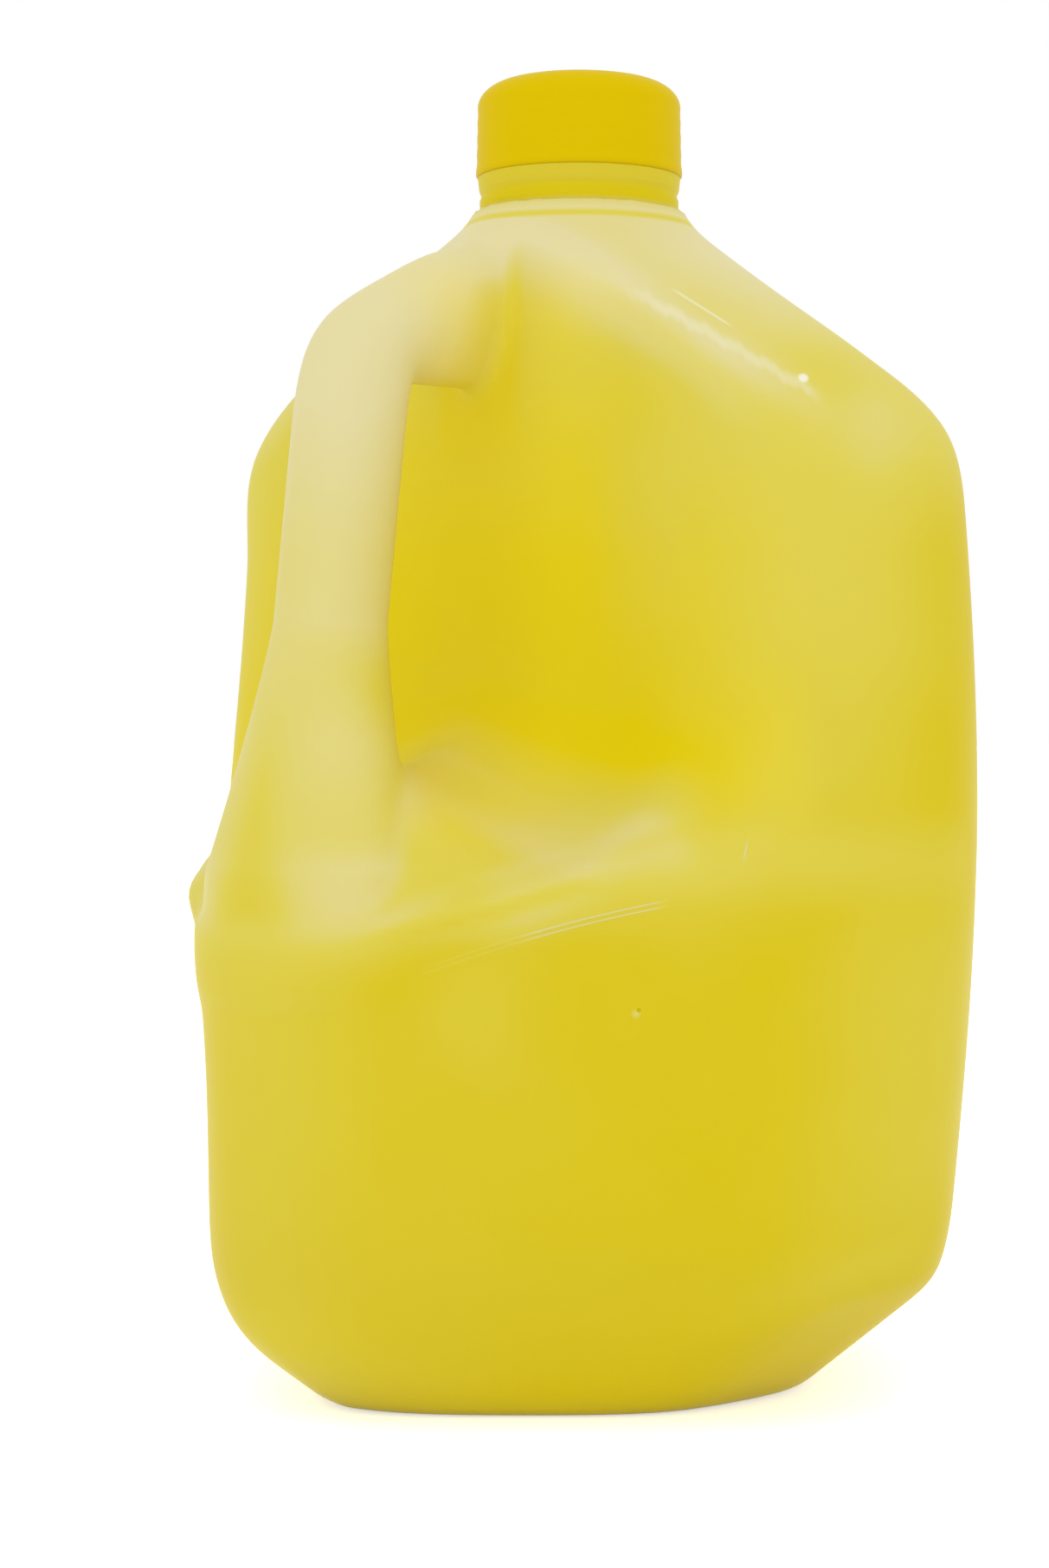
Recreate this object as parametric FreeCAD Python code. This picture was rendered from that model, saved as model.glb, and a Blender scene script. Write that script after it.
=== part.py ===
import FreeCAD, Part
import math
import os

os.makedirs("parts", exist_ok=True)

# One gallon lemonade jug, millimetres.
# +Z is up, the origin is the middle of the base on the neck's axis.
# The handle stands at the -X corner; the four faces look at 45 degrees to X and Y.

# ---- overall sizes
body_half = 72.0            # half the width across two faces, at the foot and shoulder
body_top = 232.0            # where the formed body ends and the neck begins
corner_radius = 38.0
wall = 0.9
belly = 4.2                 # how much the sides swell at mid height
belly_height = 122.0
belly_reach = 95.0
bulge = 4.8                 # extra dome of each plain face under the load of drink
pocket_bulge = 2.2          # the same on the two faces with a pocket
bulge_height = 105.0
bulge_reach = 85.0
bulge_width = 58.0
panel_inset = 1.3           # the faces with a pocket stand back a little below its shelf
panel_height = 62.0
panel_reach = 48.0
plain_from = -20.0          # the faces change over between these distances along X
plain_to = 20.0
corner_reach = (body_half - corner_radius) * math.sqrt(2.0) + corner_radius

# ---- shoulder and throat
shoulder_radius = 32.0
shoulder_drop = 4.4         # below the body's top, at that radius
shoulder_slope = 0.79 
shoulder_square = 2.6       # 2 is a cone, more is squarer
shoulder_round = 9.0
cone_reach = 24.0           # round within this radius, square past the next
square_reach = 60.0
throat_radius = 20.2        # where the shoulder sweeps up into the neck
throat_round = 6.5

# ---- foot: each bevel is set in from the side it cuts
foot_round = 2.2
floor_step = 0.4            # height within which the flat base turns up
face_foot_inset = 24.0
pocket_foot_inset = 20.0    # the same on the two faces with a pocket
face_foot_round = 10.0
corner_foot_inset = 35.1
corner_foot_slope = 0.76
corner_foot_round = 6.0
heel_foot_inset = 21.8
heel_foot_slope = 0.70
heel_foot_round = 12.0
pushup_radius = 40.0        # shallow dome under the base
pushup_depth = 2.2

# ---- finger pocket
pocket_wall = 28.5          # distance of its upright wall from the axis
pocket_wall_round = 16.0
pocket_edge = 5.0           # rounding of the arch and of the shelf's rim
pocket_fade = 16.0          # extra rounding where the wall runs out into the face
fade_top = 205.0            # the fade starts at this height and is full so far below
fade_depth = 40.0
fade_length = 25.0
pocket_end_inset = 50.0     # from the face's far side to the shelf's end
shelf_end_round = 16.0
shelf_rim = 93.0            # height of the shelf's rim beside the handle
shelf_rim_rise = 0.31       # climb of the rim along the face
shelf_fall = 0.50           # fall of the shelf outwards
shelf_face_gap = 4.0        # the rim's line lies this far outside the face
saddle_top = 127.0          # the shelf rises to a saddle that joins the wall to the handle's foot
saddle_fall = 0.14
saddle_flank = 0.52
saddle_crown = 8.0
saddle_end = 60.0
saddle_heel_fall = 1.2
saddle_round = 8.0
bead = 3.0                  # the rim stands proud of the face below it
bead_lift = 1.5
bead_reach = 9.0

# ---- handle: an arm off the shoulder, a bend and a grip that flares into the corner
arm_reach = 18.0            # top of the arm's buried end, from the axis
arm_rise = 5.0              # above the body's top
arm_under_drop = 34.0       # flat underside of the arm, below the body's top
arm_thickness_reach = 6.0   # how far the arm's buried end leans in at its foot
knee_inset = 13.6           # outer corner of the bend, from the jug's corner
knee_drop = 22.3
knee_round = 15.0
inner_knee_round = 6.0
grip_top_inset = 24.2       # centre of the grip's upper and lower ends
grip_low_inset = 18.1
grip_low_height = 128.0
heel_inset = 14.1
heel_height = 84.0
grip_depth = 11.4           # half sizes of the grip's section
grip_breadth = 10.4
root_breadth = 10.4
arm_keel = 0.5              # how much the arm narrows towards its underside at the pocket wall
heel_depth = 17.0
heel_breadth = 25.0

# ---- neck and cap, upwards from the body's top
neck_radius = 18.2
neck_wall = 1.3
bumper_radius = 20.5
bumper_rise = 5.6
bumper_height = 6.8
cap_radius = 20.9
cap_gap = 0.8               # between the bumper ring and the cap
cap_height = 19.8
cap_wall = 1.2
cap_clearance = 0.25
cap_edge = 5.0
cap_lip = 0.35
bumper_low = body_top + bumper_rise
bumper_high = bumper_low + bumper_height
skin_top = bumper_low - 0.8      # the moulded form ends just under the bumper ring
cap_low = bumper_high + cap_gap
cap_top = cap_low + cap_height
neck_top = cap_top - cap_wall    # the neck's rim seats against the lid

# ---- drink
drink_drop = 3.0            # below the body's top
drink_level = body_top - drink_drop
drink_clearance = 0.2

FACES = 48                  # points round each section
ROOT2 = math.sqrt(2.0)


def smooth_max(a, b, k):
    h = min(max(0.5 + 0.5 * (a - b) / k, 0.0), 1.0)
    return b + (a - b) * h + k * h * (1.0 - h)


def step(x, a, b):
    t = min(max((x - a) / (b - a), 0.0), 1.0)
    return t * t * (3.0 - 2.0 * t)


def dome(x, reach):
    return max(1.0 - (x / reach) ** 2, 0.0) ** 2


def side_form(plain, p, q, z):
    """Rounded square that swells at mid height; plain is 1 on the sides without a pocket."""
    lift = (pocket_bulge + (bulge - pocket_bulge) * plain) * dome(z - bulge_height, bulge_reach)
    half = body_half + belly * max(1.0 - ((z - belly_height) / belly_reach) ** 2, -1.0)
    half -= panel_inset * (1.0 - plain) * dome(z - panel_height, panel_reach)
    core = half - corner_radius
    a = p - lift * dome(q, bulge_width) - core
    b = q - lift * dome(p, bulge_width) - core
    outside = math.hypot(max(a, 0.0), max(b, 0.0))
    return outside + min(max(a, b), 0.0) - corner_radius


def shoulder_form(p, q, r, z):
    """Sloping shoulder, round at the neck and squarer outside."""
    n = shoulder_square
    square = (p ** n + q ** n) ** (1.0 / n)
    share = step(r, cone_reach, square_reach)
    reach = square * share + r * (1.0 - share)
    top = body_top - shoulder_drop - shoulder_slope * (reach - shoulder_radius)
    return (z - top) / math.hypot(1.0, shoulder_slope)


def bevel(reach, foot, slope, z):
    return (slope * (reach - foot) - z) / math.hypot(1.0, slope)


def foot_form(form, plain, x, y, p, q, z):
    """Bevelled foot: plain corners are cut back most, the heel under the handle least."""
    corner = corner_reach - corner_foot_inset
    heel = corner_reach - heel_foot_inset
    face = body_half - pocket_foot_inset - (face_foot_inset - pocket_foot_inset) * plain
    form = smooth_max(form, bevel(max(abs(y), x), corner, corner_foot_slope, z), corner_foot_round)
    form = smooth_max(form, bevel(-x, heel, heel_foot_slope, z), heel_foot_round)
    form = smooth_max(form, bevel(max(p, q), face, 1.0, z), face_foot_round)
    return smooth_max(form, -z, foot_round)


def rim_height(along):
    start = corner_radius - body_half - 6.3
    return shelf_rim + shelf_rim_rise * (along - start)


def rim_bead(reach, along, z):
    """How far the shelf's rim stands proud at this place."""
    near = step(reach, body_half - 22.0, body_half - 6.0) * (1.0 - step(along, 10.0, 35.0))
    return bead * near * dome(z - rim_height(along) - bead_lift, bead_reach)


def saddle_height(out, side):
    """Height of the saddle between the pocket wall and the foot of the handle."""
    flank = saddle_flank * (math.hypot(side, saddle_crown) - saddle_crown)
    heel = saddle_heel_fall * smooth_max(out - saddle_end, 0.0, saddle_round)
    return saddle_top - saddle_fall * (out - pocket_wall) - flank - heel


def pocket_form(out, side, reach, along, z):
    """Negative inside the finger pocket."""
    plane = rim_height(along) + shelf_fall * (body_half + shelf_face_gap - reach)
    shelf = 0.88 * (smooth_max(plane, saddle_height(out, side), saddle_round) - z)
    end = 0.9 * (along - body_half + pocket_end_inset) - 0.45 * (z - shelf_rim - 17.0)
    low = smooth_max(shelf, end, shelf_end_round)
    return smooth_max(pocket_wall - out, low, pocket_wall_round)


def body_form(x, y, z):
    """Negative inside the jug's body, close to the distance from its surface."""
    p = abs(x + y) / ROOT2
    q = abs(x - y) / ROOT2
    out = -x
    side = abs(y)
    reach = (out + side) / ROOT2
    along = (side - out) / ROOT2
    plain = step(x, plain_from, plain_to)
    form = side_form(plain, p, q, z) - rim_bead(reach, along, z)
    form = smooth_max(form, shoulder_form(p, q, math.hypot(x, y), z), shoulder_round)
    form = foot_form(form, plain, x, y, p, q, z)
    form = -smooth_max(-form, throat_radius - math.hypot(x, y), throat_round)
    pocket = pocket_form(out, side, reach, along, z)
    fade = step(fade_top - z, 0.0, fade_depth) * step(along, 0.0, fade_length)
    return smooth_max(form, -pocket, pocket_edge + pocket_fade * fade)


def radius_at(angle, z, inset):
    """Distance from the axis to the body's surface set in by inset."""
    c = math.cos(angle)
    s = math.sin(angle)
    low = 0.0
    high = 2.0 * body_half
    for _ in range(34):
        mid = 0.5 * (low + high)
        if body_form(mid * c, mid * s, z) < -inset:
            low = mid
        else:
            high = mid
    return 0.5 * (low + high)


def levels():
    """Heights of the body's sections, closer where the form turns."""
    foot = [0.0, 1.5, 4.0, 8.0, 14.0, 21.0, 29.0, 40.0, 58.0, 76.0]
    shelf = [86.0 + 4.0 * i for i in range(12)]
    gap = body_top - 40.5 - shelf[-1]
    side = [shelf[-1] + gap * t for t in (0.18, 0.40, 0.61, 0.79, 0.91)]
    arch = [body_top - 40.5 + 4.5 * i for i in range(9)]
    return foot + shelf + side + arch + [body_top - 1.5, body_top + 1.5, skin_top]


def eased(before, point, after):
    """Pole that makes an evenly knotted cubic run through the point."""
    return point - (before - point * 2.0 + after) / 6.0


def skin(rings):
    """Solid inside a smooth skin over flat closed rings of points, closed by flat ends."""
    n = len(rings[0])
    around = [[eased(r[i - 1], r[i], r[(i + 1) % n]) for i in range(n)] for r in rings]
    rows = [around[0], [(a * 2.0 + b) / 3.0 for a, b in zip(around[0], around[1])]]
    for low, mid, high in zip(around, around[1:], around[2:]):
        rows.append([eased(a, b, c) for a, b, c in zip(low, mid, high)])
    rows.append([(a + b * 2.0) / 3.0 for a, b in zip(around[-2], around[-1])])
    rows.append(around[-1])
    count = len(rings)
    ends = [4] + [1] * (count - 2) + [4]
    steps = [float(i) for i in range(count)]
    turns = [float(i) for i in range(n + 1)]
    surface = Part.BSplineSurface()
    surface.buildFromPolesMultsKnots(rows, ends, [1] * (n + 1), steps, turns, False, True, 3, 3)
    side = surface.toShape()
    faces = [side]
    for edge in side.Edges:
        if edge.isClosed():
            faces.append(Part.Face(Part.Wire([edge])))
    shell = Part.makeShell(faces)
    shell.sewShape()
    solid = Part.makeSolid(shell)
    if solid.Volume < 0.0:
        solid.reverse()
    return solid


def ring(z, inset):
    points = []
    for i in range(FACES):
        angle = 2.0 * math.pi * i / FACES
        r = radius_at(angle, max(z, inset + floor_step), inset)
        points.append(FreeCAD.Vector(r * math.cos(angle), r * math.sin(angle), z))
    return points


def body_solid(inset):
    """The body's form from the floor up, set in by inset."""
    rise = (skin_top - 3.0 * inset) / skin_top
    return skin([ring(inset + z * rise, inset) for z in levels()])


def oval(outer, inner, breadth, keel, inset):
    """Section of the handle between its outer and inner line in the XZ plane, narrowed inwards by keel."""
    count = 16
    centre = (outer + inner) * 0.5
    across = (outer - inner).normalize()
    depth = 0.5 * (outer - inner).Length - inset
    points = []
    for i in range(count):
        a = 2.0 * math.pi * i / count
        half = breadth * (1.0 - keel * (0.5 - 0.5 * math.cos(a))) - inset
        points.append(centre + across * (depth * math.cos(a)) + FreeCAD.Vector(0.0, half * math.sin(a), 0.0))
    return points


def spot(reach, z):
    return FreeCAD.Vector(-reach, 0.0, z)


def mix(a, b, t):
    return a * (1.0 - t) + b * t


def bend_point(a, knee, b, t):
    return mix(mix(a, knee, t), mix(knee, b, t), t)


def handle_stations():
    """Outer point, inner point, half breadth and keel of each section from the arm to the heel."""
    under = body_top - arm_under_drop
    top = spot(corner_reach - grip_top_inset, under)
    low = spot(corner_reach - grip_low_inset, grip_low_height)
    heel = spot(corner_reach - heel_inset, heel_height)
    grip = (low - top).normalize()
    out = FreeCAD.Vector(grip.z, 0.0, -grip.x)
    root_outer = spot(arm_reach, body_top + arm_rise)
    root_inner = spot(arm_reach - arm_thickness_reach, under)
    knee_outer = spot(corner_reach - knee_inset, body_top - knee_drop)
    knee_inner = top - out * grip_depth
    arm_outer = knee_outer + (root_outer - knee_outer).normalize() * knee_round
    arm_inner = knee_inner + FreeCAD.Vector(inner_knee_round, 0.0, 0.0)
    grip_start = top + grip * inner_knee_round * 2.0
    grip_outer = grip_start + out * grip_depth
    grip_inner = grip_start - out * grip_depth
    stations = []
    for i in range(4):
        t = i / 3.0
        breadth = root_breadth + (grip_breadth - root_breadth) * t
        keel = arm_keel * (1.0 - t)
        stations.append((mix(root_outer, arm_outer, t), mix(root_inner, arm_inner, t), breadth, keel))
    for i in range(1, 5):
        t = i / 4.0
        outer = bend_point(arm_outer, knee_outer, grip_outer, t)
        inner = bend_point(arm_inner, knee_inner, grip_inner, t)
        stations.append((outer, inner, grip_breadth, 0.0))
    middle = mix(grip_start, low, 0.5)
    stations.append((middle + out * grip_depth, middle - out * grip_depth, grip_breadth, 0.0))
    for i in range(4):
        t = i / 3.0
        depth = grip_depth + (heel_depth - grip_depth) * t ** 1.5
        breadth = grip_breadth + 1.2 + (heel_breadth - grip_breadth - 1.2) * t ** 1.5
        centre = mix(low, heel, t)
        stations.append((centre + out * depth, centre - out * depth, breadth, 0.0))
    return stations


def handle_solid(inset):
    return skin([oval(o, i, b, k, inset) for o, i, b, k in handle_stations()])


def revolved(profile):
    points = [FreeCAD.Vector(r, 0.0, z) for r, z in profile]
    face = Part.Face(Part.makePolygon(points + [points[0]]))
    return face.revolve(FreeCAD.Vector(0, 0, 0), FreeCAD.Vector(0, 0, 1), 360.0)


def pushup(inset):
    """Shallow dome that lifts the middle of the base."""
    ball = (pushup_radius ** 2 + pushup_depth ** 2) / (2.0 * pushup_depth)
    centre = FreeCAD.Vector(0.0, 0.0, pushup_depth - ball)
    return Part.makeSphere(ball + inset, centre)


def neck_outer():
    """Neck tube with its double bumper ring."""
    waist = bumper_radius - 0.7
    foot = throat_radius - 0.5
    middle = 0.5 * (bumper_low + bumper_high)
    profile = [(0.0, skin_top - 1.0), (foot, skin_top - 1.0), (foot, bumper_low)]
    profile += [(bumper_radius, bumper_low + 0.9), (bumper_radius, middle - 1.1), (waist, middle - 0.4)]
    profile += [(waist, middle + 0.2), (bumper_radius, middle + 0.9), (bumper_radius, bumper_high - 0.7)]
    profile += [(bumper_radius - 0.8, bumper_high), (neck_radius, bumper_high)]
    profile += [(neck_radius, neck_top), (0.0, neck_top)]
    return revolved(profile)


def neck_bore(inset, top):
    low = skin_top - 6.0
    return Part.makeCylinder(neck_radius - neck_wall + wall - inset, top - low, FreeCAD.Vector(0.0, 0.0, low))


def outer_form():
    form = body_solid(0.0).fuse(handle_solid(0.0))
    form = form.fuse(neck_outer())
    return form.cut(pushup(0.0))


def inner_form(inset, top):
    form = body_solid(inset).fuse(handle_solid(inset))
    form = form.fuse(neck_bore(inset, top))
    return form.cut(pushup(inset))


def build_jug():
    return outer_form().cut(inner_form(wall, neck_top + 2.0))


def build_lemonade():
    form = inner_form(wall + drink_clearance, neck_top)
    above = Part.makeBox(400.0, 400.0, 100.0, FreeCAD.Vector(-200.0, -200.0, drink_level))
    return form.cut(above)


def build_cap():
    inside = neck_radius + cap_clearance
    lid = cap_top - cap_wall
    profile = [(0.0, cap_top), (cap_radius - cap_edge, cap_top)]
    for i in range(1, 6):
        a = 0.5 * math.pi * i / 6.0
        r = cap_radius - cap_edge + cap_edge * math.sin(a)
        profile.append((r, cap_top - cap_edge + cap_edge * math.cos(a)))
    profile += [(cap_radius, cap_top - cap_edge), (cap_radius + cap_lip, cap_low + 1.2)]
    profile += [(cap_radius + cap_lip, cap_low + 0.4), (cap_radius - 0.2, cap_low)]
    profile += [(inside + 0.3, cap_low), (inside, cap_low + 0.8), (inside, lid), (0.0, lid)]
    return revolved(profile)


def export(shape, node):
    solid = shape.Solids[0] if len(shape.Solids) == 1 else shape
    solid.exportStep("parts/" + node + ".step")


export(build_jug(), "jug")
export(build_lemonade(), "lemonade")
export(build_cap(), "cap")
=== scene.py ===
import math

import bmesh
import bpy
from bpy.props import FloatProperty, FloatVectorProperty, IntProperty, PointerProperty
from bpy.types import Operator, Panel, PropertyGroup
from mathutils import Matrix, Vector


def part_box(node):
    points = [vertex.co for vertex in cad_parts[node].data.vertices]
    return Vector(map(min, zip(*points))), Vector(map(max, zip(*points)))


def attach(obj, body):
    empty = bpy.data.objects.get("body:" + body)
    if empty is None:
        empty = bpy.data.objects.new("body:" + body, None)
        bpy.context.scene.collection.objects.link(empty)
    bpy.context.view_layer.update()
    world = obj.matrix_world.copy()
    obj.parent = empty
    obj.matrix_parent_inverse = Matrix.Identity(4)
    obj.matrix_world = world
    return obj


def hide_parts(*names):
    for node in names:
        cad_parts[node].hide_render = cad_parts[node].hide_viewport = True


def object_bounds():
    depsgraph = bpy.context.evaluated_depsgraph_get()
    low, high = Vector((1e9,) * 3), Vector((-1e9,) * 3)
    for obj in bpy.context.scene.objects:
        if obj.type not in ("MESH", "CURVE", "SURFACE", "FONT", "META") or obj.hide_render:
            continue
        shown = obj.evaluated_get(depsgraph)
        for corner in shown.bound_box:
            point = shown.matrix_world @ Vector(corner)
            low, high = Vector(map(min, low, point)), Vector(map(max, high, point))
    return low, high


bl_info = {
    "name": "Lemonade jug",
    "version": (1, 0, 0),
    "blender": (4, 5, 0),
    "location": "View3D > Sidebar > Jug",
    "description": "Makes a full lemonade jug with a moulded handle, its drink and its screw cap",
    "category": "Add Mesh",
}

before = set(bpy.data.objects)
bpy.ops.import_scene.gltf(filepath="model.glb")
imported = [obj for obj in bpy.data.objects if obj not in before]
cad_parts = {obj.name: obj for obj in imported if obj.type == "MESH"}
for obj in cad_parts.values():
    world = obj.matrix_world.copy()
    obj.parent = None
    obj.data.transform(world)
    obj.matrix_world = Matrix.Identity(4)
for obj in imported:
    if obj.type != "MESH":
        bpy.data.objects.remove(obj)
CAD_BOX = [list(map(float, corner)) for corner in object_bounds()]
CAP_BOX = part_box("cap")
MM = 0.001
PER_METRE = 1000.0
ROOT2 = math.sqrt(2.0)


# ---------------------------------------------------------------- node building

class Term:
    """A number socket that takes part in Python expressions by adding Math nodes."""

    def __init__(self, graph, socket):
        self.graph = graph
        self.socket = socket

    def math(self, operation, *values):
        kind = "ShaderNodeMath"
        inputs = dict(enumerate((self,) + values))
        return self.graph.term(kind, {"operation": operation}, inputs)

    def __add__(self, other):
        return self.math("ADD", other)

    def __radd__(self, other):
        return self.math("ADD", other)

    def __sub__(self, other):
        return self.math("SUBTRACT", other)

    def __rsub__(self, other):
        return self.graph.term("ShaderNodeMath", {"operation": "SUBTRACT"}, {0: other, 1: self})

    def __mul__(self, other):
        return self.math("MULTIPLY", other)

    def __rmul__(self, other):
        return self.math("MULTIPLY", other)

    def __truediv__(self, other):
        return self.math("DIVIDE", other)

    def __rtruediv__(self, other):
        return self.graph.term("ShaderNodeMath", {"operation": "DIVIDE"}, {0: other, 1: self})

    def __pow__(self, power):
        return self.math("POWER", power)

    def __neg__(self):
        return self.math("MULTIPLY", -1.0)

    def __abs__(self):
        return self.math("ABSOLUTE")

    def least(self, other):
        return self.math("MINIMUM", other)

    def most(self, other):
        return self.math("MAXIMUM", other)

    def sine(self):
        return self.math("SINE")

    def root(self):
        return self.math("SQRT")

    def clamp(self, low=0.0, high=1.0):
        return self.most(low).least(high)

    def blend_most(self, other, width):
        """The larger of the two, rounded where they meet."""
        return self.math("SMOOTH_MAX", other, width * 1.5)

    def blend_least(self, other, width):
        return self.math("SMOOTH_MIN", other, width * 1.5)

    def step(self, start, end):
        """Smooth rise from 0 at start to 1 at end."""
        settings = {"interpolation_type": "SMOOTHSTEP"}
        inputs = {"Value": self, "From Min": start, "From Max": end}
        return self.graph.term("ShaderNodeMapRange", settings, inputs)


class Graph:
    """Adds nodes to one tree."""

    def __init__(self, tree):
        self.tree = tree

    def node(self, kind, settings=None, inputs=None):
        node = self.tree.nodes.new(kind)
        for name, value in (settings or {}).items():
            setattr(node, name, value)
        for key, value in (inputs or {}).items():
            self.feed(node.inputs[key], value)
        return node

    def feed(self, socket, value):
        if isinstance(value, Term):
            value = value.socket
        if isinstance(value, bpy.types.NodeSocket):
            self.tree.links.new(value, socket)
        else:
            socket.default_value = value

    def term(self, kind, settings=None, inputs=None, output=0):
        return Term(self, self.node(kind, settings, inputs).outputs[output])

    def split(self, vector):
        node = self.node("ShaderNodeSeparateXYZ", None, {0: vector})
        return [Term(self, out) for out in node.outputs]

    def added(self, first, second):
        return self.node("ShaderNodeVectorMath", {"operation": "ADD"}, {0: first, 1: second}).outputs[0]

    def scaled(self, vector, factor):
        settings = {"operation": "SCALE"}
        return self.node("ShaderNodeVectorMath", settings, {0: vector, "Scale": factor}).outputs[0]


def socket_list(tree, side, entries):
    for name, kind, default in entries:
        item = tree.interface.new_socket(name=name, in_out=side, socket_type=kind)
        if default is not None:
            item.default_value = default


# ---------------------------------------------------------------- sizes and colours

def length(name, text, value):
    return FloatProperty(name=name, description=text, default=value, unit="LENGTH", subtype="DISTANCE")


def colour(name, text, value):
    return FloatVectorProperty(name=name, description=text, default=value, subtype="COLOR",
                               size=3, min=0.0, max=1.0)


class JugSizes(PropertyGroup):
    """Sizes of the moulded jug."""
    body_half: length("Body half width", "Half the width across two faces", 71.93 * MM)
    body_top: length("Body top", "Height where the body ends and the neck begins", 232.0 * MM)
    corner_radius: length("Corner radius", "Rounding of the four upright corners", 38.0 * MM)
    belly: length("Belly", "Swelling of the sides at mid height", 4.2 * MM)
    bulge: length("Bulge", "Extra dome of each plain face", 4.8 * MM)
    pocket_wall: length("Pocket wall", "Distance of the finger pocket's wall from the axis", 28.5 * MM)
    shelf_rim: length("Shelf rim", "Height of the shelf's rim beside the handle", 93.0 * MM)
    grip_depth: length("Grip depth", "Half the depth of the handle's grip", 11.4 * MM)
    grip_breadth: length("Grip breadth", "Half the breadth of the handle's grip", 10.4 * MM)
    grain: length("Grain", "Size of the cells the moulded form is made from", 1.55 * MM)


class JugFinish(PropertyGroup):
    """Colours of the milky plastic with the drink behind it, some of them painted light and shade."""
    gold: colour("Deep gold", "Where much drink lies behind the wall", (0.712, 0.562, 0.003))
    yellow: colour("Yellow", "Between the gold and the cream", (0.742, 0.640, 0.092))
    # Cream is also used as painted top light where a face looks up.
    cream: colour("Cream", "Where the wall is thin or faces up", (0.778, 0.703, 0.368))
    bright: colour("Bright gold", "Pocket wall and foot, where light gathers", (0.795, 0.630, 0.003))
    sunlit: colour("Sunlit gold", "In the pocket and at the foot, between pale surfaces",
                   (0.93, 0.77, 0.012))
    # Glint is a painted highlight.
    glint: colour("Glint", "Thin pale lines on the pocket's edge", (0.90, 0.88, 0.72))
    # Amber is painted shade towards the foot.
    amber_shade: colour("Amber", "Towards the foot", (0.668, 0.510, 0.010))
    drink: colour("Drink", "Colour of the lemonade", (0.72, 0.56, 0.05))


class CapSizes(PropertyGroup):
    """Sizes and colour of the screw cap."""
    radius: length("Radius", "Radius of the cap's side", 20.9 * MM)
    edge: length("Edge", "Rounding of the cap's upper edge", 8.0 * MM)
    lip: length("Lip", "How far the lowest band stands out", 0.35 * MM)
    segments: IntProperty(name="Segments", description="Steps round the cap", default=128, min=24)
    yellow: colour("Yellow", "Colour of the cap", (0.738, 0.532, 0.0006))


class StageSizes(PropertyGroup):
    """Floor, lights and camera."""
    distance: length("Camera distance", "From the neck's axis to the camera", 0.700)
    eye_height: length("Eye height", "Height of the camera above the floor", 0.130)
    turn: FloatProperty(name="Turn", description="Angle of the camera round the jug",
                        default=math.radians(-45.0), subtype="ANGLE")
    lens: FloatProperty(name="Lens", description="Focal length in millimetres", default=77.9, min=10.0)
    white: colour("White", "Floor and backdrop", (1.0, 1.0, 1.0))


# ---------------------------------------------------------------- the jug's form

# In millimetres. A bevel is its place, its inset at the floor, its slope and its rounding.
# A neck band is its share of the ring's height and its radius.
SHOULDER_RADIUS = 32.0
SHOULDER_DROP = 4.4
SHOULDER_SLOPE = 0.79
FOOT_BEVELS = (("corner", 36.5, 0.74, 4.0), ("heel", 22.0, 0.66, 6.0), ("face", 20.0, 1.0, 8.0))
NECK_BANDS = ((0.0, 20.2), (0.06, 20.35), (0.12, 20.45), (0.36, 20.5), (0.42, 20.3), (0.48, 20.15),
              (0.54, 20.2), (0.60, 20.45), (0.66, 20.6), (0.90, 20.8), (0.97, 20.85), (1.0, 20.85))
THROAT_RADIUS = 20.2
THROAT_HEIGHT = 7.5
UNDER_DROP = 32.5
GRIP_INSET = 24.2
FLARE_DEPTH = 4.0
FLARE_BREADTH = 17.0
PUSHUP_RADIUS = 40.0
PUSHUP_DEPTH = 2.2
THIN_REACH = 14.0
FIELD_MARGIN = 0.006
FIELD_ABOVE = 0.014
FIELD_SOFTNESS = 8.0
PULL_ROUNDS = 2
PULL_SHARE = 0.95
FORM_SIZES = ("body_half", "body_top", "corner_radius", "belly", "bulge", "pocket_wall", "shelf_rim",
              "grip_depth", "grip_breadth")


def dome(x, reach):
    """1 where x is 0, falling smoothly to 0 at reach on both sides."""
    share = (1.0 - (x / reach) ** 2.0).most(0.0)
    return share * share


def hypot(a, b):
    return (a * a + b * b).root()


def side_form(plain, p, q, z, size):
    """Rounded square that swells at mid height; plain is 1 on the sides without a pocket."""
    lift = (2.2 + (size["bulge"] - 2.2) * plain) * dome(z - 115.0, 85.0)
    swell = (1.0 - ((z - 122.0) / 95.0) ** 2.0).most(-1.0)
    core = size["body_half"] + size["belly"] * swell - size["corner_radius"]
    core = core - 2.0 * (1.0 - plain) * dome(z - 72.0, 48.0)
    a = p - lift * dome(q, 58.0) - core
    b = q - lift * dome(p, 58.0) - core
    return hypot(a.most(0.0), b.most(0.0)) + a.most(b).least(0.0) - size["corner_radius"]


def shoulder_form(p, q, r, z, size):
    """Sloping shoulder, round at the neck and squarer outside."""
    square = (p ** 2.6 + q ** 2.6) ** (1.0 / 2.6)
    share = r.step(24.0, 60.0)
    reach = square * share + r * (1.0 - share)
    top = size["body_top"] - SHOULDER_DROP - SHOULDER_SLOPE * (reach - SHOULDER_RADIUS)
    return (z - top) / math.hypot(1.0, SHOULDER_SLOPE)


def foot_form(form, plain, x, y, p, q, z, size):
    """Foot bevelled at the plain corners, at the heel under the handle and along the faces."""
    reach = (size["body_half"] - size["corner_radius"]) * ROOT2 + size["corner_radius"]
    across = {"corner": abs(y).most(x), "heel": -x, "face": p.most(q)}
    ends = {"corner": reach, "heel": reach, "face": size["body_half"]}
    for name, inset, slope, width in FOOT_BEVELS:
        inset = inset + 5.5 * plain if name == "face" else inset
        cut = (slope * (across[name] - (ends[name] - inset)) - z) / math.hypot(1.0, slope)
        form = form.blend_most(cut, width)
    return form.blend_most(-z, 2.2)


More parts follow.
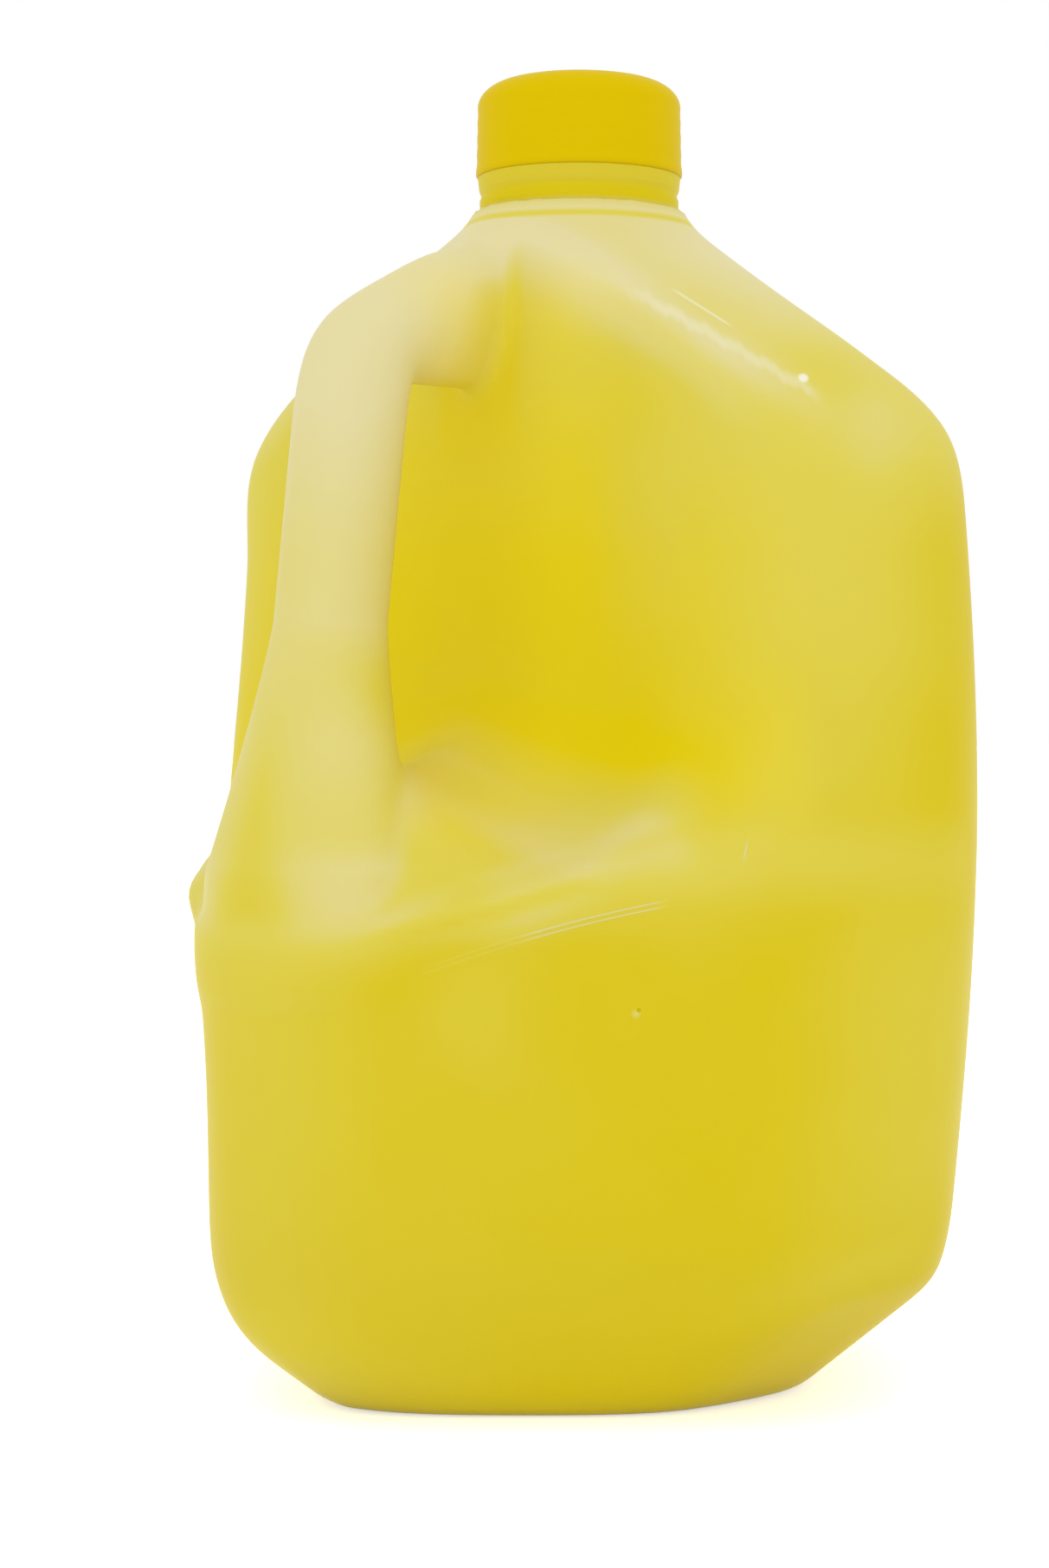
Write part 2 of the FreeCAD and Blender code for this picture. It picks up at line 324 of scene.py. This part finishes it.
def rim_height(along, size):
    return size["shelf_rim"] + 0.31 * (along - size["corner_radius"] + size["body_half"] + 6.3)


def rim_bead(reach, along, rim, z, size):
    """How far the shelf's rim stands proud at this place."""
    near = (reach - size["body_half"]).step(-22.0, -6.0)
    near = near * along.step(-62.0, -44.0) * (1.0 - along.step(-14.0, 16.0))
    return 3.6 * near * dome(z - (rim + 2.0).most(103.0), 13.0)


def pocket_form(out, side, reach, along, rim, z, size):
    """Negative inside the finger pocket."""
    plane = rim + 0.50 * (size["body_half"] + 4.0 - reach)
    heel = (out - 60.0).blend_most(0.0, 8.0)
    saddle = 127.0 - 0.14 * (out - size["pocket_wall"]) - 0.52 * (hypot(side, 8.0) - 8.0) - 1.2 * heel
    shelf = 0.88 * (plane.blend_most(saddle, 8.0) - z)
    end = 0.9 * (along - size["body_half"] + 50.0) - 0.45 * (z - size["shelf_rim"] - 17.0)
    low = shelf.blend_most(end, 16.0)
    return (size["pocket_wall"] - out).blend_most(low, 16.0)


def handle_form(out, side, z, size):
    """Arm with a flat underside, a bend, and a grip that flares into the corner."""
    reach = (size["body_half"] - size["corner_radius"]) * ROOT2 + size["corner_radius"]
    under = size["body_top"] - UNDER_DROP
    centre = reach - GRIP_INSET + (under - z) * 0.12 - 2.0 * (1.0 - z.step(80.0, 104.0))
    flare = ((152.0 - z) / 54.0).clamp(0.0, 0.88) ** 1.15
    depth = size["grip_depth"] + FLARE_DEPTH * flare
    arm = ((52.0 - out) / 34.0).clamp()
    breadth = size["grip_breadth"] + FLARE_BREADTH * flare
    ridge = 0.884 * (z - size["body_top"] + 22.3 - 0.53 * (reach - 13.6 - out))
    outer = ridge.blend_most(out - centre - depth, 12.0)
    hole = (z - under).blend_most(out - centre + depth, 5.0)
    band = (hole - outer).most(0.5)
    across = (hole + outer) / band
    breadth = breadth * (1.0 - 0.5 * arm * (0.5 - 0.5 * across).clamp())
    ring = hypot(across, side / breadth)
    form = (ring - 1.0) * (0.5 * band).least(breadth)
    return form.blend_most(80.0 - z, 6.0).blend_most(10.0 - out, 4.0)


def jug_distance():
    """Node group: distance from the jug's outer skin, negative inside, in millimetres."""
    tree = bpy.data.node_groups.new("Jug distance", "GeometryNodeTree")
    socket_list(tree, "INPUT", [("Point", "NodeSocketVector", None)])
    socket_list(tree, "INPUT", [(name, "NodeSocketFloat", 1.0) for name in FORM_SIZES])
    socket_list(tree, "OUTPUT", [("Distance", "NodeSocketFloat", None)])
    graph = Graph(tree)
    given = graph.node("NodeGroupInput").outputs
    size = {name: Term(graph, given[name]) * PER_METRE for name in FORM_SIZES}
    x, y, z = graph.split(graph.scaled(given["Point"], PER_METRE))
    p = abs(x + y) / ROOT2
    q = abs(x - y) / ROOT2
    r = hypot(x, y)
    out = -x
    side = abs(y)
    reach = (out + side) / ROOT2
    along = (side - out) / ROOT2
    rim = rim_height(along, size)
    plain = x.step(-20.0, 20.0)
    form = side_form(plain, p, q, z, size) - rim_bead(reach, along, rim, z, size)
    form = form.blend_most(shoulder_form(p, q, r, z, size), 9.0)
    form = foot_form(form, plain, x, y, p, q, z, size)
    throat = (r - THROAT_RADIUS).blend_most(z - size["body_top"] - THROAT_HEIGHT, 1.0)
    form = form.blend_least(throat, 6.5)
    pocket = pocket_form(out, side, reach, along, rim, z, size)
    fade = (205.0 - z).step(0.0, 40.0) * along.step(0.0, 25.0)
    form = form.blend_most(-pocket, 5.0 + 13.0 * fade)
    under_arch = shoulder_form(p, q, r, z, size) - 1.0 - 0.45 * (out - 32.0).most(0.0)
    handle = handle_form(out, side, z, size).blend_most(under_arch, 4.0)
    fillet = 4.0 + 14.0 * (1.0 - z.step(108.0, 142.0)) * (1.0 - out.step(62.0, 78.0))
    form = form.blend_least(handle, fillet)
    ball = (PUSHUP_RADIUS ** 2 + PUSHUP_DEPTH ** 2) / (2.0 * PUSHUP_DEPTH)
    dish = hypot(r, z - PUSHUP_DEPTH + ball)
    form = form.blend_most(ball - dish, 1.0)
    graph.node("NodeGroupOutput", None, {"Distance": form})
    return tree


def skin_tree(group, name, sizes, inset, top):
    """Tree that makes a closed skin, set in by inset and cut off at top, and stores its paleness, painted
    light and shade included.
    """
    tree = bpy.data.node_groups.new(name, "GeometryNodeTree")
    entries = [(key, "NodeSocketFloat", getattr(sizes, key)) for key in FORM_SIZES]
    entries += [("inset", "NodeSocketFloat", inset), ("top", "NodeSocketFloat", top)]
    entries += [("grain", "NodeSocketFloat", sizes.grain)]
    socket_list(tree, "INPUT", [("Geometry", "NodeSocketGeometry", None)] + entries)
    socket_list(tree, "INPUT", [("Material", "NodeSocketMaterial", None)])
    socket_list(tree, "OUTPUT", [("Geometry", "NodeSocketGeometry", None)])
    graph = Graph(tree)
    given = graph.node("NodeGroupInput").outputs

    def distance(point):
        inputs = {key: given[key] for key in FORM_SIZES}
        inputs["Point"] = point
        whole = graph.term("GeometryNodeGroup", {"node_tree": group}, inputs)
        height = graph.split(point)[2]
        cut = (height - Term(graph, given["top"])) * PER_METRE
        return (whole + Term(graph, given["inset"]) * PER_METRE).most(cut)

    place = graph.node("GeometryNodeInputPosition").outputs[0]
    low = Vector(CAD_BOX[0]) - Vector((FIELD_MARGIN, FIELD_MARGIN, FIELD_MARGIN))
    right, back = (value + FIELD_MARGIN for value in CAD_BOX[1][:2])
    high = Vector((right, back, sizes.body_top + FIELD_ABOVE))
    grain = Term(graph, given["grain"])
    counts = [((b - a) / grain).math("ROUND") for a, b in zip(low, high)]
    density = (0.5 - distance(place) / FIELD_SOFTNESS).clamp()
    cube = graph.node("GeometryNodeVolumeCube", None, {
        "Density": density, "Min": low, "Max": high,
        "Resolution X": counts[0], "Resolution Y": counts[1], "Resolution Z": counts[2]})
    mesh = graph.node("GeometryNodeVolumeToMesh", {"resolution_mode": "GRID"},
                      {"Threshold": 0.5, "Volume": cube.outputs[0]})
    shape = mesh.outputs[0]
    normal = graph.node("GeometryNodeInputNormal").outputs[0]
    for _ in range(PULL_ROUNDS):
        step = graph.scaled(normal, distance(place) * -PULL_SHARE * MM)
        shape = graph.node("GeometryNodeSetPosition", None, {"Geometry": shape, "Offset": step}).outputs[0]
    probe = graph.added(place, graph.scaled(normal, -THIN_REACH * MM))
    thin = 1.0 - (distance(probe) / -THIN_REACH).clamp()
    spot = graph.split(graph.scaled(place, PER_METRE))
    pale = cream_share(spot, graph.split(normal), sizes, thin)
    stored = graph.node("GeometryNodeStoreNamedAttribute", {"data_type": "FLOAT", "domain": "POINT"},
                        {"Geometry": shape, "Name": "pale", "Value": pale})
    smooth = graph.node("GeometryNodeSetShadeSmooth", None, {0: stored.outputs[0]})
    real = graph.node("GeometryNodeRealizeInstances", None, {0: smooth.outputs[0]})
    dressed = graph.node("GeometryNodeSetMaterial", None,
                         {"Geometry": real.outputs[0], "Material": given["Material"]})
    graph.node("NodeGroupOutput", None, {0: dressed.outputs[0]})
    return tree


def grown(name, tree, values):
    """Plain mesh object that the tree makes from its named inputs."""
    seed = bpy.data.objects.new(name + "_seed", bpy.data.meshes.new(name + "_seed"))
    bpy.context.collection.objects.link(seed)
    modifier = seed.modifiers.new("form", "NODES")
    modifier.node_group = tree
    for item in tree.interface.items_tree:
        if item.item_type == "SOCKET" and item.in_out == "INPUT" and item.name in values:
            modifier[item.identifier] = values[item.name]
    graph = bpy.context.evaluated_depsgraph_get()
    mesh = bpy.data.meshes.new_from_object(seed.evaluated_get(graph), depsgraph=graph)
    mesh.name = name
    bpy.data.objects.remove(seed)
    if not mesh.polygons:
        raise RuntimeError(name + " came out empty")
    piece = bpy.data.objects.new(name, mesh)
    bpy.context.collection.objects.link(piece)
    return piece


def turned(name, profile, segments, finish):
    """Closed solid of revolution about the neck's axis from radius and height pairs."""
    verts = []
    faces = []
    count = len(profile)
    for i in range(segments):
        a = 2.0 * math.pi * i / segments
        for r, z in profile:
            verts.append((r * math.cos(a), r * math.sin(a), z))
    for i in range(segments):
        j = (i + 1) % segments
        for k in range(count - 1):
            faces.append((i * count + k, j * count + k, j * count + k + 1, i * count + k + 1))
    mesh = bpy.data.meshes.new(name)
    mesh.from_pydata(verts, [], faces)
    piece = bpy.data.objects.new(name, mesh)
    bpy.context.collection.objects.link(piece)
    close_up(mesh)
    mesh.materials.append(finish)
    for polygon in mesh.polygons:
        polygon.use_smooth = True
    return piece


def close_up(mesh):
    """Joins the points on the axis and turns every face outwards."""
    work = bmesh.new()
    work.from_mesh(mesh)
    bmesh.ops.remove_doubles(work, verts=work.verts, dist=1e-6)
    bmesh.ops.dissolve_degenerate(work, edges=work.edges, dist=1e-7)
    bmesh.ops.recalc_face_normals(work, faces=work.faces)
    work.to_mesh(mesh)
    work.free()


# ---------------------------------------------------------------- finishes

def material(name):
    made = bpy.data.materials.new(name)
    made.use_nodes = True
    graph = Graph(made.node_tree)
    shader = made.node_tree.nodes["Principled BSDF"]
    return made, graph, shader


def mixed(graph, share, first, second):
    """Colour between two, by a share."""
    node = graph.node("ShaderNodeMix", {"data_type": "RGBA"}, {0: share})
    for socket, value in ((node.inputs[6], first), (node.inputs[7], second)):
        if isinstance(value, bpy.types.NodeSocket):
            graph.feed(socket, value)
        else:
            socket.default_value = (*value, 1.0)
    return node.outputs[2]


def cream_share(spot, normal, sizes, thin):
    """0 where the drink behind the wall is deep, 1 where there is little of it or the face looks up; the
    paleness of upward faces is painted top light, and some terms paint highlights and shade.
    """
    x, y, z = spot
    size = {key: getattr(sizes, key) / MM for key in ("body_half", "corner_radius", "shelf_rim")}
    out = -x
    side = abs(y)
    reach = (out + side) / ROOT2
    along = (side - out) / ROOT2
    front = (x - y) / ROOT2
    below = z - rim_height(along, size)
    up = normal[2].most(0.0)
    corner = (abs(x + y) / ROOT2).least(abs(x - y) / ROOT2).step(32.0, 62.0)
    faded = 1.0 - 0.45 * z.step(90.0, 120.0) - 0.35 * z.step(140.0, 165.0)
    inner = out.step(20.0, 26.0) * (1.0 - out.step(31.0, 40.0))
    beside = side.step(28.0, 45.0) * (1.0 - side.step(50.0, 62.0))
    floor = (1.0 - out.step(30.0, 41.0)) * (1.0 - z.step(140.0, 160.0))
    bands = 0.19 * z.step(70.0, 110.0) + 0.15 * z.step(120.0, 165.0)
    edge = 0.09 * dome(below + 2.0, 11.0) + 0.22 * dome(below - 1.2, 3.2)
    pale = {
        "thin": 0.03 + 1.1 * thin + 0.0012 * thin.step(0.2, 0.5) * (z - 130.0),
        # Painted light: the shoulder is painted paler towards the top, as if lit from above.
        "shoulder": 0.0078 * (z - 164.0).most(0.0),
        # Painted top light: faces that look up are painted paler.
        "painted top light": (0.52 - 0.16 * z.step(130.0, 190.0)) * up,
        # Painted highlight: a pale sheen down the upright corners, fainter higher up.
        "upright corners": 0.18 * corner * faded,
        "beside the pocket": 0.21 * z.step(125.0, 165.0) * along.step(0.0, 40.0),
        "pocket top": 0.14 * inner * (1.0 - side.step(26.0, 42.0)) * z.step(185.0, 205.0),
        "pocket end": 0.12 * out.step(20.0, 27.0) * beside * dome(z - 168.0, 34.0),
        "grip": 0.07 * out.step(50.0, 70.0) * dome(z - 124.0, 34.0) + 0.13 * out.step(40.0, 75.0),
        # Painted light: the shelf, which faces up, is painted paler as if lit from above.
        "shelf": 0.18 * reach.step(46.0, 56.0) * (1.0 - out.step(50.0, 60.0)) * dome(z - 107.0, 11.0),
        "by the grip": 0.25 * reach.step(60.0, 70.0) * dome(along + 40.0, 22.0) * dome(z - 97.0, 15.0),
        "body": 0.001 * front * (1.0 - z.step(80.0, 110.0)),
        "foot": (0.03 - 0.003 * front) * (1.0 - z.step(6.0, 24.0)),
    }
    golden = {
        "rim": edge * reach.step(55.0, 68.0) * along.step(-42.0, -22.0) * (1.0 - along.step(0.0, 30.0)),
        "heel": 0.09 * out.step(64.0, 80.0) * dome(z - 92.0, 16.0),
        "grip's foot": 0.20 * out.step(52.0, 62.0) * along.step(-60.0, -42.0) * dome(z - 114.0, 17.0),
        "plain faces": bands * x.step(-20.0, 35.0) * (1.0 - z.step(196.0, 232.0)),
        "plain foot": 0.40 * x.step(-10.0, 25.0) * (1.0 - z.step(20.0, 54.0)),
        "ridge": 0.20 * along.step(20.0, 42.0) * (1.0 - front.step(46.0, 58.0)) * dome(z - 190.0, 22.0),
        "wall": 0.22 * along.step(-5.0, 25.0) * z.step(180.0, 200.0) * (1.0 - z.step(212.0, 230.0)),
        # Painted shade: the pocket floor under the shoulder loses its painted top light and stays golden.
        "pocket floor": 0.42 * floor * up.step(0.0, 0.4),
    }
    share = sum(pale.values()) - sum(golden.values())
    root = out.step(20.0, 26.0) * (1.0 - out.step(31.0, 48.0)) * (1.0 - side.step(9.0, 14.0))
    root = root * z.step(180.0, 195.0) * (1.0 - z.step(216.0, 230.0))
    # Painted shade: deep gold low on the far corner beyond the front face, as if that side were in shadow.
    shaded_wedge = front.step(46.0, 60.0) * (1.0 - z.step(18.0, 34.0))
    return share * (1.0 - 0.6 * root) * (1.0 - 0.75 * shaded_wedge)


def neck_share(z, base):
    """Bands of gold and cream round the neck, from the throat up to the cap."""
    high = z - base
    band = 0.9 - 0.45 * dome(high - 2.7, 1.3) - 0.12 * dome(high - 5.0, 1.2)
    gold = high.step(5.4, 7.0)
    return band * (1.0 - gold) + gold * (0.03 + 0.16 * high.step(8.6, 10.4))


def face_spot(spot):
    """Distances towards and along the front face."""
    x, y = spot[:2]
    return (-x - y) / ROOT2, (x - y) / ROOT2


def wall_marks(spot):
    """Height of the moulding's small marks: a double crease under the shelf, a nick and a streak."""
    toward, along = face_spot(spot)
    z = spot[2]
    line = z - 86.4 - 0.2826 * (along + 30.0) - 0.002 * (along + 30.0) * (16.0 - along)
    ends = along.step(-32.0, -22.0) * (0.3 + 0.7 * along.step(-14.0, -6.0)) * (1.0 - along.step(13.0, 17.0))
    crease = (dome(line - 0.5, 0.42) + dome(line + 0.5, 0.42)) * ends
    nick = 1.2 * dome(hypot(along - 10.5, z - 79.0), 1.2) - 2.2 * dome(hypot(along - 11.0, z - 79.7), 0.45)
    streak = dome(along - 30.6 - 0.2 * (z - 109.0), 0.45) * dome(z - 109.0, 3.0)
    return (crease + nick + 0.7 * streak) * toward.step(40.0, 50.0)


def ridge_gloss(spot):
    """Painted highlight: thin pale glints that run down the edge over the pocket."""
    toward, along = face_spot(spot)
    z = spot[2]
    wave = 0.4 * (along * 1.1).sine() + 0.2 * (along * 2.9 + 1.0).sine()
    edge = dome(z - 213.7 + 0.64 * (along - 13.9) - wave, 2.2)
    edge = edge * along.step(6.0, 16.0) * (1.0 - along.step(42.0, 46.0))
    thread = dome(z - 216.6 + 0.743 * (along - 18.2), 0.5)
    thread = thread * along.step(17.0, 20.0) * (1.0 - along.step(27.0, 30.0))
    bead = dome(hypot(along - 42.2, z - 197.6), 1.3)
    return (0.30 * edge + 0.55 * thread + 1.6 * bead).clamp() * toward.step(15.0, 25.0)


def milky_plastic(finish, sizes):
    """Milky plastic over cloudy lemonade, from gold through yellow to cream, with painted light, painted
    highlights and painted shade.
    """
    made, graph, shader = material("milky_plastic")
    place = graph.node("ShaderNodeTexCoord").outputs["Object"]
    spot = [axis * PER_METRE for axis in graph.split(place)]
    out, z = -spot[0], spot[2]
    pale = graph.term("ShaderNodeAttribute", {"attribute_name": "pale"}, None, "Fac")
    cloud = graph.term("ShaderNodeTexNoise", None, {"Vector": place, "Scale": 32.0, "Detail": 3.0}, "Fac")
    marks = wall_marks(spot)
    neck = z.step(sizes.body_top / MM + 1.0, sizes.body_top / MM + 2.6)
    share = pale + 0.14 * (cloud - 0.5)
    # Painted highlight: the marks also pale the colour, so the moulded double crease shows as pale lines;
    # the nick and the streak are marks of the moulding.
    share = share * (1.0 - neck) + neck * neck_share(z, sizes.body_top / MM) + 0.5 * marks
    # Painted light: the pocket wall and the foot are painted a brighter gold, standing in for light
    # gathered there.
    pocket = out.step(20.0, 27.0) * (1.0 - out.step(32.0, 50.0)) * z.step(100.0, 125.0)
    pocket = pocket * (1.0 - 0.8 * z.step(195.0, 225.0))
    gold = mixed(graph, pocket.most(1.0 - z.step(2.0, 18.0)), finish.gold, finish.bright)
    base = mixed(graph, (share * 2.0).clamp(), gold, finish.yellow)
    base = mixed(graph, (share * 2.0 - 1.0).clamp(), base, finish.cream)
    # Painted shade: a darker amber band low on the jug, towards the foot.
    base = mixed(graph, 0.35 * (1.0 - z.step(14.0, 60.0)) * z.step(2.0, 18.0), base, finish.amber_shade)
    # Painted light: a sunlit gold in the pocket's hollow and at the foot.
    inner = out - 14.0 * (1.0 - z.step(115.0, 140.0))
    hollow = out.step(20.0, 27.0) * (1.0 - inner.step(40.0, 60.0)) * (1.0 - abs(spot[1]).step(20.0, 45.0))
    hollow = hollow * z.step(95.0, 112.0) * (1.0 - z.step(212.0, 228.0))
    base = mixed(graph, (0.35 * hollow).most(0.35 * (1.0 - z.step(2.0, 30.0))), base, finish.sunlit)
    # Painted highlight: pale glints along the edge over the pocket.
    base = mixed(graph, ridge_gloss(spot), base, finish.glint)
    graph.feed(shader.inputs["Base Color"], base)
    shader.inputs["Roughness"].default_value = 0.38
    shader.inputs["Specular IOR Level"].default_value = 0.03
    bump = graph.node("ShaderNodeBump", None, {"Height": marks * 0.12, "Distance": MM})
    graph.feed(shader.inputs["Normal"], bump.outputs[0])
    return made


def smooth_plastic(name, tint, rough, gloss):
    made, _, shader = material(name)
    shader.inputs["Base Color"].default_value = (*tint, 1.0)
    shader.inputs["Roughness"].default_value = rough
    shader.inputs["Specular IOR Level"].default_value = gloss
    return made


# ---------------------------------------------------------------- operators

BODY_ABOVE = 6.0 * MM
DRINK_INSET = 0.6 * MM
DRINK_BELOW = 3.0 * MM
DRINK_GRAIN = 2.4 * MM
NECK_SEGMENTS = 128


class JUG_OT_body(Operator):
    """Make the moulded jug with its neck rings"""
    bl_idname = "jug.body"
    bl_label = "Jug"

    def execute(self, context):
        sizes = context.scene.jug_sizes
        finish = milky_plastic(context.scene.jug_finish, sizes)
        group = jug_distance()
        tree = skin_tree(group, "Jug skin", sizes, 0.0, sizes.body_top + BODY_ABOVE)
        body = grown("jug_body", tree, {"Material": finish})
        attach(body, "root")
        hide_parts("jug")
        neck = turned("jug_neck", neck_profile(sizes), NECK_SEGMENTS, finish)
        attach(neck, "root")
        return {"FINISHED"}


class JUG_OT_drink(Operator):
    """Make the lemonade that fills the jug"""
    bl_idname = "jug.drink"
    bl_label = "Lemonade"

    def execute(self, context):
        sizes = context.scene.jug_sizes
        finish = smooth_plastic("lemonade", context.scene.jug_finish.drink, 0.3, 0.05)
        group = bpy.data.node_groups["Jug distance"]
        tree = skin_tree(group, "Drink skin", sizes, DRINK_INSET, sizes.body_top - DRINK_BELOW)
        drink = grown("drink", tree, {"Material": finish, "grain": DRINK_GRAIN})
        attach(drink, "root")
        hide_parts("lemonade")
        return {"FINISHED"}


class JUG_OT_cap(Operator):
    """Make the round screw cap"""
    bl_idname = "jug.cap"
    bl_label = "Cap"

    def execute(self, context):
        sizes = context.scene.cap_sizes
        finish = smooth_plastic("yellow_plastic", sizes.yellow, 0.38, 0.02)
        cap = turned("cap_shell", cap_profile(sizes), sizes.segments, finish)
        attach(cap, "root")
        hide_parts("cap")
        return {"FINISHED"}


class JUG_OT_stage(Operator):
    """Make the floor, backdrop, lights and camera"""
    bl_idname = "jug.stage"
    bl_label = "Stage"

    def execute(self, context):
        stage = context.scene.stage_sizes
        lay_floor(stage)
        light_up(context)
        place_camera(context, stage)
        context.scene.view_settings.view_transform = "Standard"
        return {"FINISHED"}


# ---------------------------------------------------------------- profiles of the turned pieces

RING_START = 5.6 * MM
TUBE_BELOW = 3.9 * MM
EDGE_HEIGHT = 0.68
EDGE_STEPS = 12
SIDE_STEPS = 13


def arc(cx, cz, radius, start, end, steps):
    """Points of an arc about a centre; angle 0 points outwards and 90 degrees points up."""
    points = []
    for i in range(steps + 1):
        a = math.radians(start + (end - start) * i / steps)
        points.append((cx + radius * math.cos(a), cz + radius * math.sin(a)))
    return points


def neck_profile(sizes):
    """Neck tube with its double bumper ring, from the throat to the rim under the cap."""
    base = sizes.body_top
    low = base + RING_START
    high = CAP_BOX[0][2] - 0.05 * MM
    tube_top = CAP_BOX[1][2] - TUBE_BELOW
    profile = [(0.0, low - 3.0 * MM), (20.0 * MM, low - 3.0 * MM), (20.15 * MM, low - 0.5 * MM)]
    for share, radius in NECK_BANDS:
        profile.append((radius * MM, low + (high - low) * share))
    profile += [(18.2 * MM, high), (18.2 * MM, tube_top)]
    profile += [(16.9 * MM, tube_top), (16.9 * MM, low - 1.0 * MM), (0.0, low - 1.0 * MM)]
    return profile


def cap_profile(sizes):
    """Round top edge, near upright side with faint bands, and a small lip."""
    top = CAP_BOX[1][2]
    low = CAP_BOX[0][2]
    edge = sizes.edge
    radius = sizes.radius
    profile = [(0.0, top), ((radius - edge) * 0.5, top)]
    drop = EDGE_HEIGHT * edge
    for r, z in reversed(arc(radius - edge, 0.0, edge, 0.0, 90.0, EDGE_STEPS)):
        profile.append((r, top - drop + EDGE_HEIGHT * z))
    height = top - drop - low - 1.6 * MM
    for i in range(1, SIDE_STEPS):
        share = i / SIDE_STEPS
        wave = 0.05 * MM * math.cos(share * math.pi * 8.0)
        profile.append((radius + sizes.lip * share * 0.7 + wave - 0.05 * MM, top - drop - height * share))
    profile += [(radius + sizes.lip, low + 1.3 * MM), (radius + sizes.lip, low + 0.4 * MM)]
    profile += [(radius + sizes.lip - 0.3 * MM, low), (18.8 * MM, low), (18.45 * MM, low + 0.8 * MM)]
    profile += [(18.45 * MM, top - 3.4 * MM), (13.0 * MM, top - 1.2 * MM), (0.0, top - 1.2 * MM)]
    return profile


# ---------------------------------------------------------------- stage

FLOOR_HALF = 40.0
GLOW = 0.55
LAMP_AIM = (0.0, 0.0, 0.12)
LENS_SHIFT = (-0.0348, -0.0298)


def seen_share(graph):
    """1 for what the camera sees, also in a gloss or through glass."""
    path = graph.node("ShaderNodeLightPath")
    names = ("Is Camera Ray", "Is Glossy Ray", "Is Transmission Ray")
    camera, glossy, through = (Term(graph, path.outputs[name]) for name in names)
    return camera.most(glossy).most(through)


def lay_floor(stage):
    made, graph, shader = material("white_paper")
    shader.inputs["Base Color"].default_value = (*stage.white, 1.0)
    shader.inputs["Roughness"].default_value = 0.9
    seen = seen_share(graph)
    glow = graph.node("ShaderNodeEmission", None, {"Color": (1.0, 1.0, 1.0, 1.0), "Strength": GLOW})
    both = graph.node("ShaderNodeAddShader", None, {0: shader.outputs[0], 1: glow.outputs[0]})
    pick = graph.node("ShaderNodeMixShader", None, {0: seen, 1: shader.outputs[0], 2: both.outputs[0]})
    out = made.node_tree.nodes["Material Output"]
    made.node_tree.links.new(pick.outputs[0], out.inputs["Surface"])
    mesh = bpy.data.meshes.new("floor")
    signs = ((-1, -1), (1, -1), (1, 1), (-1, 1))
    verts = [(i * FLOOR_HALF, j * FLOOR_HALF, 0.0) for i, j in signs]
    mesh.from_pydata(verts, [], [(0, 1, 2, 3)])
    mesh.materials.append(made)
    floor = bpy.data.objects.new("floor", mesh)
    bpy.context.collection.objects.link(floor)


def light_up(context):
    world = bpy.data.worlds.new("studio")
    context.scene.world = world
    world.use_nodes = True
    graph = Graph(world.node_tree)
    seen = seen_share(graph)
    strength = 0.96 + 0.04 * seen
    graph.feed(world.node_tree.nodes["Background"].inputs["Strength"], strength)
    world.node_tree.nodes["Background"].inputs["Color"].default_value = (1.0, 1.0, 1.0, 1.0)
    lamp("top_light", (-0.15, -0.25, 1.1), size=0.9, power=0.4)
    lamp("front_light", (-1.1, -0.9, 0.5), size=0.8, power=0.6)


def lamp(name, place, size, power):
    """Square lamp that points at the middle of the jug."""
    data = bpy.data.lights.new(name, "AREA")
    data.shape = "SQUARE"
    data.size = size
    data.energy = power
    made = bpy.data.objects.new(name, data)
    made.location = place
    made.rotation_euler = (Vector(LAMP_AIM) - Vector(place)).to_track_quat("-Z", "Y").to_euler()
    bpy.context.collection.objects.link(made)


def place_camera(context, stage):
    data = bpy.data.cameras.new("camera")
    data.sensor_fit = "VERTICAL"
    data.sensor_height = 36.0
    data.lens = stage.lens
    data.shift_x, data.shift_y = LENS_SHIFT
    camera = bpy.data.objects.new("camera", data)
    toward = Vector((math.sin(stage.turn), -math.cos(stage.turn), 0.0))
    camera.location = toward * stage.distance + Vector((0.0, 0.0, stage.eye_height))
    camera.rotation_euler = (math.radians(90.0), 0.0, stage.turn)
    context.collection.objects.link(camera)
    context.scene.camera = camera


# ---------------------------------------------------------------- panel and registration

class JUG_PT_panel(Panel):
    """Lists the operators, sizes and colours"""
    bl_idname = "JUG_PT_panel"
    bl_label = "Lemonade jug"
    bl_space_type = "VIEW_3D"
    bl_region_type = "UI"
    bl_category = "Jug"

    def draw(self, context):
        for operator in OPERATORS:
            self.layout.operator(operator.bl_idname)
        for name, kind in GROUPS.items():
            box = self.layout.box()
            box.label(text=kind.__doc__)
            for key in kind.__annotations__:
                box.prop(getattr(context.scene, name), key)


GROUPS = {"jug_sizes": JugSizes, "jug_finish": JugFinish, "cap_sizes": CapSizes, "stage_sizes": StageSizes}
OPERATORS = (JUG_OT_body, JUG_OT_drink, JUG_OT_cap, JUG_OT_stage)


def register():
    for kind in (*GROUPS.values(), *OPERATORS, JUG_PT_panel):
        bpy.utils.register_class(kind)
    for name, kind in GROUPS.items():
        setattr(bpy.types.Scene, name, PointerProperty(type=kind))


def unregister():
    for name in GROUPS:
        delattr(bpy.types.Scene, name)
    for kind in reversed((*GROUPS.values(), *OPERATORS, JUG_PT_panel)):
        bpy.utils.unregister_class(kind)


def main():
    register()
    bpy.ops.jug.body()
    bpy.ops.jug.drink()
    bpy.ops.jug.cap()
    bpy.ops.jug.stage()


if __name__ == "__main__":
    main()
